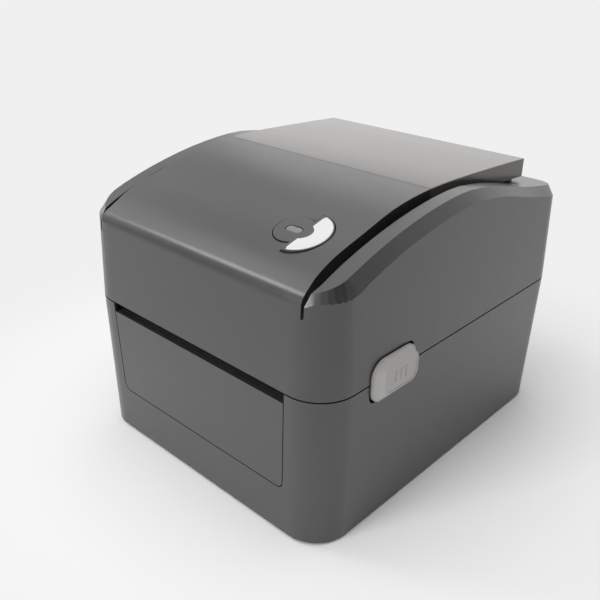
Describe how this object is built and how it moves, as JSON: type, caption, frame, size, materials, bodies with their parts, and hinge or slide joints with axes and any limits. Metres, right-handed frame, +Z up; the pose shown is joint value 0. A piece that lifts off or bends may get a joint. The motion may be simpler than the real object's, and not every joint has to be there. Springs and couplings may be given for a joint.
{
  "type": "thermal label printer",
  "caption": "Desktop thermal label printer with a hinged roll cover, smoke-tinted window, side release buttons, lobed feed key and a front label slot.",
  "frame": {"origin": "middle of the footprint, on the surface the feet stand on", "axes": "+Z up, -Y towards the front with the label slot, +X to the user's right"},
  "size_m": [0.1862, 0.215, 0.1601],
  "materials": {
    "shell_plastic": "fine spark-eroded texture, satin",
    "smoke_plastic": "glossy tinted",
    "button_plastic": "satin",
    "white_plastic": "satin",
    "lens_plastic": "frosted lens",
    "inner_plastic": "matte black",
    "sensor_plastic": "satin",
    "gear_plastic": "natural, satin",
    "steel": "zinc plated",
    "spring_steel": "bright drawn wire",
    "motor_metal": "black",
    "brass": "satin",
    "heatsink_aluminium": "extruded",
    "head_ceramic": "glazed",
    "foot_rubber": "matte",
    "roller_rubber": "ground matte",
    "circuit_board": "solder mask",
    "socket_plastic": "matte black",
    "socket_metal": "nickel plated"
  },
  "bodies": {
    "base": {"lower_housing": "shell_plastic", "front_panel": "shell_plastic", "rubber_feet": "foot_rubber", "housing_screws": "steel", "media_tray": "inner_plastic", "paper_guide": "inner_plastic", "side_plate_left": "steel", "side_plate_right": "steel", "platen_bearings": "gear_plastic", "idler_axle": "steel", "drive_motor": "motor_metal", "sensor_rail": "inner_plastic", "main_board": "circuit_board", "dc_jack": "socket_plastic", "usb_port": "socket_metal", "switch_frame": "socket_plastic", "pinion_axle": "steel", "hinge_pins": "steel", "release_spring_left": "spring_steel", "release_spring_right": "spring_steel"},
    "platen": {"platen_roller": "roller_rubber", "platen_shaft": "steel", "platen_gear": "gear_plastic"},
    "idler": {"idler_gear": "gear_plastic"},
    "motor_rotor": {"motor_pinion": "brass"},
    "sensor": {"sensor_carriage": "sensor_plastic"},
    "rocker": {"power_rocker": "socket_plastic"},
    "right_holder": {"holder_right": "inner_plastic", "rack_right": "gear_plastic"},
    "left_holder": {"holder_left": "inner_plastic", "rack_left": "gear_plastic"},
    "holder_gear": {"rack_pinion": "gear_plastic"},
    "right_release": {"release_button_right": "button_plastic", "latch_hook_right": "steel"},
    "left_release": {"release_button_left": "button_plastic", "latch_hook_left": "steel"},
    "cover": {"upper_housing": "shell_plastic", "smoke_window": "smoke_plastic", "key_board": "circuit_board", "status_light": "lens_plastic", "head_carrier": "inner_plastic", "carrier_screws": "steel", "tear_bar": "steel", "latch_catches": "shell_plastic", "head_springs": "spring_steel"},
    "key": {"feed_key": "shell_plastic", "key_inlay": "white_plastic"},
    "head": {"head_heatsink": "heatsink_aluminium", "print_head": "head_ceramic"}
  },
  "joints": [
    {"name": "cover_hinge", "type": "hinge", "parent": "base", "child": "cover", "pos_m": [0, 0.1031, 0.08855], "axis": [-1, 0, 0], "range_deg": [0, 85]},
    {"name": "platen_spin", "type": "hinge", "parent": "base", "child": "platen", "pos_m": [0, -0.088, 0.0745], "axis": [1, 0, 0], "continuous": true},
    {"name": "idler_spin", "type": "hinge", "parent": "base", "child": "idler", "pos_m": [0, -0.06793, 0.05643], "axis": [1, 0, 0], "continuous": true},
    {"name": "motor_spin", "type": "hinge", "parent": "base", "child": "motor_rotor", "pos_m": [0, -0.04726, 0.04891], "axis": [1, 0, 0], "continuous": true},
    {"name": "sensor_slide", "type": "slide", "parent": "base", "child": "sensor", "axis": [1, 0, 0], "range_m": [-0.03, 0.03]},
    {"name": "power_rocker_tilt", "type": "hinge", "parent": "base", "child": "rocker", "pos_m": [-0.05, 0.10179, 0.022], "axis": [1, 0, 0], "range_deg": [0, 20]},
    {"name": "right_holder_slide", "type": "slide", "parent": "base", "child": "right_holder", "axis": [1, 0, 0], "range_m": [0, 0.04], "stiffness_N_per_m": 60, "springref_m": -0.01},
    {"name": "left_holder_slide", "type": "slide", "parent": "base", "child": "left_holder", "axis": [-1, 0, 0], "range_m": [0, 0.04]},
    {"name": "holder_gear_spin", "type": "hinge", "parent": "base", "child": "holder_gear", "pos_m": [0, 0.02797, 0], "axis": [0, 0, 1], "range_deg": [-255, 1]},
    {"name": "right_release_press", "type": "slide", "parent": "base", "child": "right_release", "axis": [-1, 0, 0], "range_m": [0, 0.003], "stiffness_N_per_m": 800, "springref_m": -0.002, "deforming": ["release_spring_right"]},
    {"name": "left_release_press", "type": "slide", "parent": "base", "child": "left_release", "axis": [1, 0, 0], "range_m": [0, 0.003], "stiffness_N_per_m": 800, "springref_m": -0.002, "deforming": ["release_spring_left"]},
    {"name": "feed_key_press", "type": "slide", "parent": "cover", "child": "key", "axis": [0, 0.2757, -0.9612], "range_m": [0, 0.0008], "stiffness_N_per_m": 1500, "springref_m": -0.0003},
    {"name": "head_tilt", "type": "hinge", "parent": "cover", "child": "head", "pos_m": [0, -0.075, 0.0884], "axis": [-1, 0, 0], "range_deg": [0, 3], "stiffness_Nm_per_rad": 1, "springref_deg": -1.15, "deforming": ["head_springs"]}
  ],
  "couplings": [
    {"joint": "idler_spin", "follows": "platen_spin", "ratio": -0.8},
    {"joint": "motor_spin", "follows": "platen_spin", "ratio": 1.7143},
    {"joint": "left_holder_slide", "follows": "right_holder_slide", "ratio": 1},
    {"joint": "holder_gear_spin", "follows": "right_holder_slide", "rad_per_m": -111.11}
  ]
}
